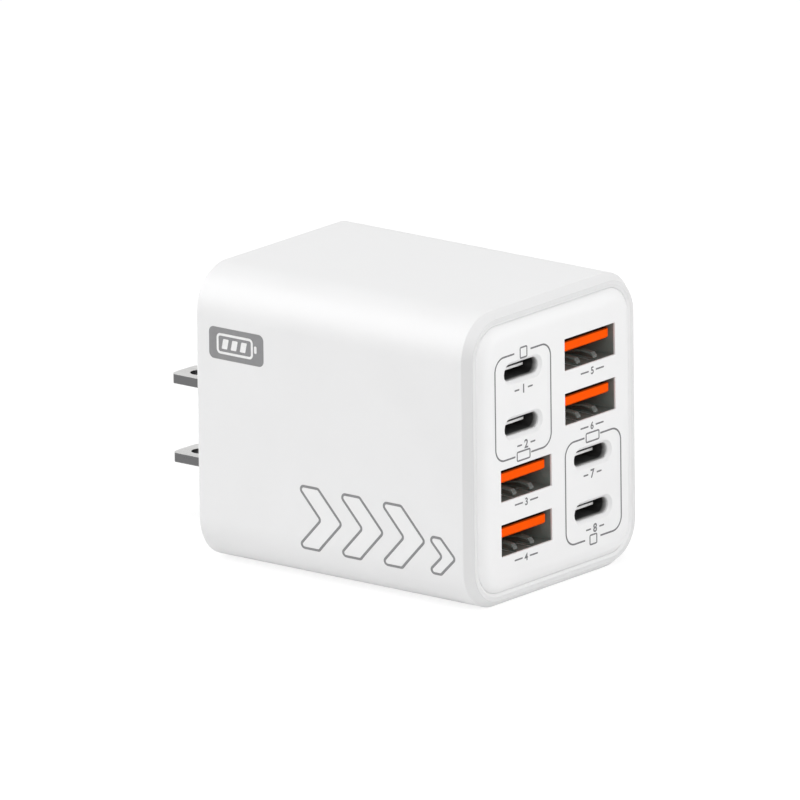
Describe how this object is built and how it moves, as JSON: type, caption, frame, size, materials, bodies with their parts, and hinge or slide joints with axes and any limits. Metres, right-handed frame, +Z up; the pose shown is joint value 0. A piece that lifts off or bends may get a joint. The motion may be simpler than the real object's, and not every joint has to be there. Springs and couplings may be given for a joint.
{
  "type": "multi port usb charger",
  "caption": "White block mains charger with round edges, a pillow-edged port panel with wide and narrow power outlets in two columns, and two flat plug blades on its rear.",
  "frame": {"origin": "middle of the sleeve's flat bottom, halfway between its front lip and its rear rim", "axes": "+Z up, the ports face -Y, the plug blades point along +Y, +X to the right as seen from the ports"},
  "size_m": [0.042, 0.0753, 0.047],
  "materials": {
    "sleeve_plastic": "fine matte texture",
    "panel_plastic": "fine matte texture",
    "blade_metal": "satin",
    "spring_brass": "satin",
    "board_green": "satin",
    "header_plastic": "matte",
    "contact_gold": "polished",
    "shell_steel": "satin",
    "orange_insulator": "smooth",
    "pale_insulator": "smooth",
    "ferrite": "matte",
    "bobbin_plastic": "smooth",
    "tape_yellow": "gloss",
    "copper_wire": "enamelled",
    "capacitor_sleeve": "gloss",
    "capacitor_can": "satin",
    "disc_blue": "gloss",
    "fuse_case": "satin",
    "chip_plastic": "matte",
    "thermal_grey": "matte",
    "spreader_aluminium": "brushed",
    "sheet_film": "satin"
  },
  "bodies": {
    "root": {"housing": "sleeve_plastic", "front_panel": "panel_plastic", "rear_cover": "panel_plastic", "blade_upper": "blade_metal", "blade_lower": "blade_metal", "blade_clip_upper": "spring_brass", "blade_clip_lower": "spring_brass", "port_board": "board_green", "main_board": "board_green", "link_header": "header_plastic", "link_pins": "contact_gold", "usb_a_shell_1": "shell_steel", "usb_a_shell_2": "shell_steel", "usb_a_shell_3": "shell_steel", "usb_a_shell_4": "shell_steel", "usb_a_tongue_1": "orange_insulator", "usb_a_tongue_2": "orange_insulator", "usb_a_tongue_3": "orange_insulator", "usb_a_tongue_4": "orange_insulator", "usb_a_contacts_1": "contact_gold", "usb_a_contacts_2": "contact_gold", "usb_a_contacts_3": "contact_gold", "usb_a_contacts_4": "contact_gold", "usb_c_shell_1": "shell_steel", "usb_c_shell_2": "shell_steel", "usb_c_shell_3": "shell_steel", "usb_c_shell_4": "shell_steel", "usb_c_tongue_1": "pale_insulator", "usb_c_tongue_2": "pale_insulator", "usb_c_tongue_3": "pale_insulator", "usb_c_tongue_4": "pale_insulator", "usb_c_contacts_1": "contact_gold", "usb_c_contacts_2": "contact_gold", "usb_c_contacts_3": "contact_gold", "usb_c_contacts_4": "contact_gold", "transformer_core_inner": "ferrite", "transformer_core_outer": "ferrite", "line_filter_core": "ferrite", "port_chokes": "ferrite", "transformer_bobbin": "bobbin_plastic", "transformer_winding": "tape_yellow", "film_capacitor": "tape_yellow", "line_filter_winding": "copper_wire", "bulk_capacitors": "capacitor_sleeve", "output_capacitors": "capacitor_can", "safety_capacitor": "disc_blue", "fuse": "fuse_case", "bridge_rectifier": "chip_plastic", "power_switches": "chip_plastic", "controller_chips": "chip_plastic", "port_chips": "chip_plastic", "thermal_pad": "thermal_grey", "heat_spreader": "spreader_aluminium", "insulating_sheet": "sheet_film"}
  },
  "joints": []
}
